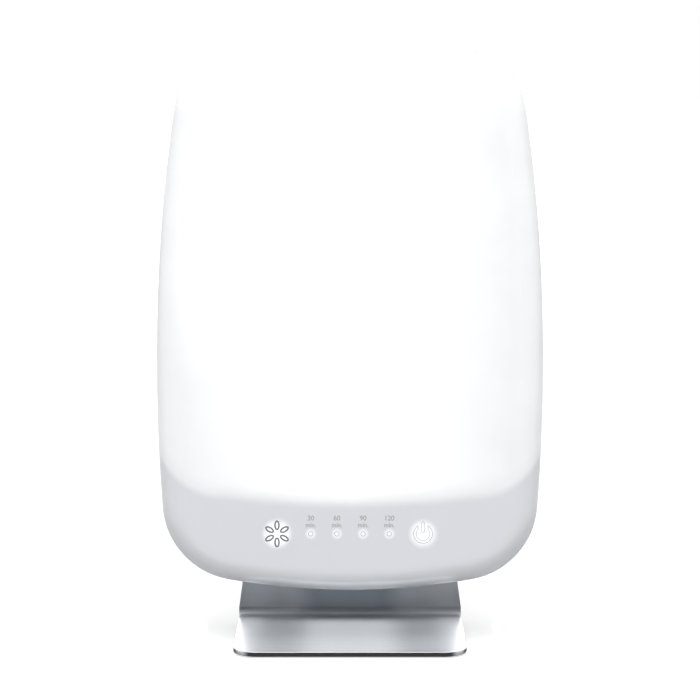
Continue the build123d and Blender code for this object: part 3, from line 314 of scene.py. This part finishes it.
# ---------------------------------------------------------------- the brushed stand
def stand_steel():
    """Satin steel, brushed across the width, with painted shade on the leg and on the cut edges."""
    look = Look("stand_steel")
    fine = look.noise(0.00035, 3, (60, 1, 1))
    streaks = look.noise(0.0022, 3, (45, 1, 1))
    bands = look.noise(0.012, 2, (14, 1, 1))
    tone = look.math("ADD", look.math("MULTIPLY", fine, 0.5), look.math("MULTIPLY", streaks, 0.5))

    # The base plate's cut edge: upright, and lower than its top face. Its dark colour is painted shade,
    # with a painted highlight along its middle and where it turns round a corner.
    x, y, z = look.split(look.place)
    side_on, facing, up = look.split(look.coordinates("Normal"))
    side_on = look.math("ABSOLUTE", side_on)
    upright = look.fall(look.math("ABSOLUTE", up), 0.5, 0.8)
    edge = look.product(upright, look.fall(z, 0.0049, 0.0053), look.fall(y, 0.050, 0.052))
    middle = look.product(look.ramp(z, 0.0014, 0.0022), look.fall(z, 0.0034, 0.0042))
    corner = look.product(look.ramp(side_on, 0.25, 0.6), look.fall(side_on, 0.75, 0.95))
    edge_painted_highlight = look.math("MAXIMUM", look.product(middle, 0.06), corner)
    edge_painted_shade_and_highlight = look.mix(edge_painted_highlight, (0.032, 0.033, 0.035), (0.45, 0.46, 0.47))

    # The leg is painted darker than the base as shade, most of all low on the middle of its front.
    brushed = look.mix(look.ramp(tone, 0.3, 0.7), (0.70, 0.72, 0.745), (0.75, 0.77, 0.795))
    low_front = look.product(look.fall(z, 0.06, 0.09), look.fall(facing, -0.3, 0.0))
    leg_middle_painted_shade = look.product(low_front, look.fall(look.math("ABSOLUTE", x), 0.028, 0.056))
    leg = look.mix(leg_middle_painted_shade, (0.40, 0.425, 0.455), (0.22, 0.24, 0.27))
    steel = look.mix(look.ramp(z, 0.0054, 0.010), brushed, leg)
    look.set(
        Base_Color=look.mix(edge, steel, edge_painted_shade_and_highlight),
        Metallic=0.75,
        Roughness=look.ramp(bands, 0.3, 0.7, 0.28, 0.34),
        Normal=look.bump(fine, 0.000003),
        Anisotropic=0.4,
        Tangent=Vector((0, 0.7071, 0.7071)),
        Specular_IOR_Level=0.5,
    )
    return look.material


# ---------------------------------------------------------------- ink, boards and glass
def ink():
    """Printed ink, paler where a light behind the panel shines through it."""
    look = Look("panel_print")
    u, v, _ = head_places(look)
    speckle = look.noise(0.0004, 2)
    dark = look.mix(speckle, (0.13, 0.135, 0.14), (0.17, 0.175, 0.18))
    pale = (0.33, 0.34, 0.35)
    symbols = look.mix(look.ramp(u, -0.01, 0.01), dark, pale)
    timer_row = look.mix(look.ramp(v, 0.0535, 0.0545), pale, (0.40, 0.41, 0.42))
    outer = look.ramp(look.math("ABSOLUTE", u), 0.048, 0.052)
    look.set(
        Base_Color=look.mix(outer, timer_row, symbols),
        Roughness=look.ramp(speckle, 0.3, 0.7, 0.45, 0.55),
        Specular_IOR_Level=0.3,
    )
    return look.material


def board(name, colour):
    """A printed board: solder mask over copper tracks."""
    look = Look(name)
    cells = look.tree.nodes.new("ShaderNodeTexVoronoi")
    cells.distance = "MANHATTAN"
    look.feed(cells.inputs["Vector"], look.place)
    look.feed(cells.inputs["Scale"], 260.0)
    tracks = look.ramp(cells.outputs["Distance"], 0.42, 0.47)
    look.set(
        Base_Color=look.mix(tracks, shade(colour, 0.85), shade(colour, 1.35)),
        Roughness=look.ramp(look.noise(0.01, 2), 0.3, 0.7, 0.32, 0.42),
        Normal=look.bump(tracks, 0.00003),
    )
    return look.material


def glass(name, colour):
    look = Look(name)
    haze = look.noise(0.003, 3)
    look.set(
        Base_Color=look.mix(haze, shade(colour, 0.95), shade(colour, 1.05)),
        Roughness=look.ramp(haze, 0.3, 0.7, 0.02, 0.08),
        Transmission_Weight=0.85,
        IOR=1.47,
    )
    return look.material


def wound(name, colour, pitch, metallic, roughness):
    """Wire or tape wound in even turns up the head's height."""
    look = Look(name)
    v = head_places(look)[1]
    turns = look.math("SINE", look.math("MULTIPLY", v, 2 * math.pi / pitch))
    look.set(
        Base_Color=look.mix(look.ramp(turns, -1, 1), shade(colour, 0.7), shade(colour, 1.15)),
        Metallic=metallic,
        Roughness=look.ramp(look.noise(0.004, 2), 0.3, 0.7, roughness - 0.05, roughness + 0.05),
        Normal=look.bump(look.ramp(turns, -1, 1), 0.0001),
    )
    return look.material


finishes = {
    "opal_cover": opal_cover(),
    "shell_white": moulded("shell_white", (0.86, 0.87, 0.885), 0.42, 0.0009, 0.00002),
    "frame_grey": moulded("frame_grey", (0.62, 0.64, 0.66), 0.5),
    "panel_print": ink(),
    "stand_steel": stand_steel(),
    "foot_rubber": rubber("foot_rubber", (0.03, 0.03, 0.032)),
    "hinge_steel": metal("hinge_steel", (0.46, 0.47, 0.49), 0.38),
    "screw_steel": metal("screw_steel", (0.55, 0.56, 0.58), 0.28, (1, 1, 1)),
    "pivot_steel": metal("pivot_steel", (0.60, 0.61, 0.63), 0.22, (1, 6, 6)),
    "friction_pad": moulded("friction_pad", (0.10, 0.10, 0.105), 0.7),
    "spring_steel": metal("spring_steel", (0.30, 0.31, 0.33), 0.32, (1, 1, 1)),
    "carrier_aluminium": metal("carrier_aluminium", (0.72, 0.73, 0.74), 0.34, (1, 1, 20)),
    "reflector_white": moulded("reflector_white", (0.92, 0.92, 0.92), 0.6),
    "diffuser_opal": moulded("diffuser_opal", (0.90, 0.91, 0.92), 0.5, 0.0004),
    "led_board_white": board("led_board_white", (0.72, 0.72, 0.70)),
    "led_phosphor": moulded("led_phosphor", (0.90, 0.78, 0.32), 0.3),
    "board_green": board("board_green", (0.03, 0.16, 0.07)),
    "chip_black": moulded("chip_black", (0.03, 0.03, 0.032), 0.5, 0.0003, 0.00002),
    "socket_cream": moulded("socket_cream", (0.76, 0.72, 0.62), 0.4),
    "winding_amber": wound("winding_amber", (0.62, 0.38, 0.08), 0.003, 0.0, 0.3),
    "capacitor_sleeve": moulded("capacitor_sleeve", (0.05, 0.06, 0.09), 0.25),
    "choke_copper": wound("choke_copper", (0.72, 0.34, 0.16), 0.0011, 1.0, 0.28),
    "heatsink_black": metal("heatsink_black", (0.05, 0.05, 0.055), 0.42, (1, 1, 12)),
    "fuse_glass": glass("fuse_glass", (0.85, 0.88, 0.88)),
    "inlet_black": moulded("inlet_black", (0.025, 0.025, 0.028), 0.45, 0.0005, 0.00002),
    "contact_metal": metal("contact_metal", (0.72, 0.68, 0.55), 0.2, (1, 1, 1)),
    "lead_insulation": rubber("lead_insulation", (0.10, 0.11, 0.16), 0.5),
    "ribbon_grey": rubber("ribbon_grey", (0.42, 0.43, 0.45), 0.5),
    "touch_foam": rubber("touch_foam", (0.10, 0.10, 0.11), 0.9),
}


def dress(mesh, finish):
    mesh.materials.clear()
    mesh.materials.append(finishes[finish])


for part in frame["record"]["subparts"]:
    dress(nodes[part["node"]].data, part["material_slot"])


# ---------------------------------------------------------------- printed legends
def legend(name, text, x, height, size):
    """Flat printed text on the panel, centred on x, with its middle at that height."""
    font = bpy.data.curves.new(name, "FONT")
    font.body = text
    font.size = size
    font.align_x = "CENTER"
    font.align_y = "CENTER"
    font.extrude = INK_DEPTH
    font.offset = 0.00012
    flat = bpy.data.objects.new(name + "_flat", font)
    scene.collection.objects.link(flat)
    bpy.context.view_layer.update()
    depsgraph = bpy.context.evaluated_depsgraph_get()
    mesh = bpy.data.meshes.new_from_object(flat.evaluated_get(depsgraph))
    bpy.data.objects.remove(flat)
    lift = HEAD_ORIGIN + x * HEAD_U + height * HEAD_V + (FACE + INK_DEPTH) * HEAD_W
    axes = Matrix((HEAD_U, HEAD_V, HEAD_W)).transposed().to_4x4()
    mesh.transform(Matrix.Translation(lift) @ axes)
    piece = bpy.data.objects.new(name, mesh)
    scene.collection.objects.link(piece)
    dress(mesh, "panel_print")
    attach(piece, "head")


for x, minutes in TIMERS:
    legend("legend_" + minutes, minutes, x, MINUTES_HEIGHT, MINUTES_SIZE)
    legend("legend_min_" + minutes, "min.", x, UNIT_HEIGHT, UNIT_SIZE)


# ---------------------------------------------------------------- floor, backdrop and lights
def backdrop_world():
    """White to the camera. In reflections it is darker where the lamp's face looks, as a room is."""
    world = bpy.data.worlds.new("backdrop")
    world.use_nodes = True
    scene.world = world
    sky = Wiring(world.node_tree, "Generated")
    camera_ray, mirrored = sky.seen()
    ahead = sky.vector("DOT_PRODUCT", sky.place, Vector((0, -1, 0)))
    room = sky.ramp(ahead, 0.3, 0.8, 1.0, 0.12)
    sideways = sky.math("ABSOLUTE", sky.split(sky.place)[0])
    around = sky.ramp(sideways, 0.3, 0.9, 0.36, 0.76)
    strength = sky.ramp(mirrored, 0, 1, around, room, "LINEAR")
    background = sky.tree.nodes.new("ShaderNodeBackground")
    background.inputs["Color"].default_value = (1, 1, 1, 1)
    sky.feed(background.inputs["Strength"], sky.ramp(camera_ray, 0, 1, strength, 1.0, "LINEAR"))
    output = sky.tree.nodes.new("ShaderNodeOutputWorld")
    sky.tree.links.new(background.outputs[0], output.inputs["Surface"])


def pale_floor():
    """Pale paper, which the camera sees as white with the object's shadow on it."""
    look = Look("floor_paper")
    camera_ray, mirrored = look.seen()
    away = look.vector("LENGTH", look.place, (0, 0, 0))
    to_camera = look.product(camera_ray, look.ramp(away, 0.4, 2.5, 0.62, 0.85))
    to_mirrors = look.product(mirrored, look.ramp(away, 0.25, 0.8, 0.0, 0.4))
    fibres = look.noise(0.002, 3)
    look.set(
        Base_Color=look.mix(fibres, (0.50, 0.50, 0.50), (0.54, 0.54, 0.54)),
        Roughness=0.9,
        Specular_IOR_Level=0.1,
        Emission_Color=(1.0, 1.0, 1.0),
        Emission_Strength=look.math("ADD", to_camera, to_mirrors),
    )
    mesh = bpy.data.meshes.new("floor")
    half = FLOOR_HALF_WIDTH
    corners = [(-half, -half, 0), (half, -half, 0), (half, half, 0), (-half, half, 0)]
    mesh.from_pydata(corners, [], [(0, 1, 2, 3)])
    mesh.materials.append(look.material)
    floor = bpy.data.objects.new("floor", mesh)
    floor.location.z = -FLOOR_DROP
    scene.collection.objects.link(floor)


def stand_lamp(name, kind, place, target, power):
    """A lamp that the camera doesn't see; a spot lamp isn't mirrored in the metal either."""
    lamp = bpy.data.lights.new(name, kind)
    lamp.energy = power
    holder = bpy.data.objects.new(name, lamp)
    holder.location = place
    holder.visible_camera = False
    holder.visible_glossy = kind != "SPOT"
    holder.rotation_euler = (Vector(target) - Vector(place)).to_track_quat("-Z", "Y").to_euler()
    scene.collection.objects.link(holder)
    return lamp


def softbox(name, place, target, width, height, power):
    lamp = stand_lamp(name, "AREA", place, target, power)
    lamp.shape = "RECTANGLE"
    lamp.size = width
    lamp.size_y = height


def base_spot(name, side):
    """A spot lamp a metre off that reaches in under the head from one side, with flags in front of it.

    The flags follow the place where each ray lands on the base plate, and stop what would miss it.
    """
    elevation = math.radians(12)
    steep = math.sin(elevation)
    level = math.cos(elevation)
    middle_y = -0.008
    lamp_place = (side * level, middle_y, BASE_TOP + steep)
    lamp = stand_lamp(name, "SPOT", lamp_place, (0, middle_y, BASE_TOP), 270)
    lamp.spot_size = math.radians(16)
    lamp.spot_blend = 0
    lamp.shadow_soft_size = 0.002
    lamp.use_nodes = True
    gate = Wiring(lamp.node_tree, "Normal")
    x, y, z = gate.split(gate.place)
    sideways = gate.math("DIVIDE", x, z)
    height = gate.math("DIVIDE", y, z)
    toward = gate.math("DIVIDE", height, gate.math("ADD", gate.product(height, level), steep))
    depth = gate.math("SUBTRACT", 1.0, gate.product(toward, level))
    land_x = gate.math("ABSOLUTE", toward)
    land_y = gate.math("SUBTRACT", middle_y, gate.product(sideways, depth, side))

    # A wash all over the plate, stronger in the middle, and more again at the two ends.
    middle = gate.product(gate.ramp(land_x, 0.027, 0.054, 1.0, 0.40), gate.fall(land_y, 0.028, 0.052))
    near_ends = gate.ramp(land_x, 0.070, 0.092, 0.0, 0.42)
    off_front = gate.ramp(land_y, -0.055, 0.0, 0.4, 1.0)
    ends = gate.product(near_ends, off_front, gate.fall(land_y, 0.042, 0.056))
    soft = 0.0005
    within_ends = gate.fall(land_x, BASE_HALF_WIDTH - soft, BASE_HALF_WIDTH + soft)
    behind_front = gate.ramp(land_y, BASE_FRONT - soft, BASE_FRONT + soft)
    strength = gate.product(gate.math("ADD", middle, ends), within_ends, behind_front)
    emission = gate.tree.nodes.new("ShaderNodeEmission")
    gate.feed(emission.inputs["Strength"], strength)
    output = gate.tree.nodes.new("ShaderNodeOutputLight")
    gate.tree.links.new(emission.outputs[0], output.inputs["Surface"])


backdrop_world()
pale_floor()
softbox("key_softbox", (-0.7, -1.5, 2.7), (0, 0, 0.25), 1.3, 0.9, 29)
softbox("fill_softbox", (0.9, -1.3, 2.4), (0, 0, 0.25), 1.0, 0.8, 13)
softbox("top_softbox", (0, -0.5, 2.2), (0, 0, 0.2), 1.4, 1.0, 20)
softbox("rear_softbox", (0, 2.2, 1.4), (0, 0, 0.25), 1.4, 1.2, 12)
base_spot("left_spot", -1)
base_spot("right_spot", 1)

scene.view_settings.view_transform = "Standard"
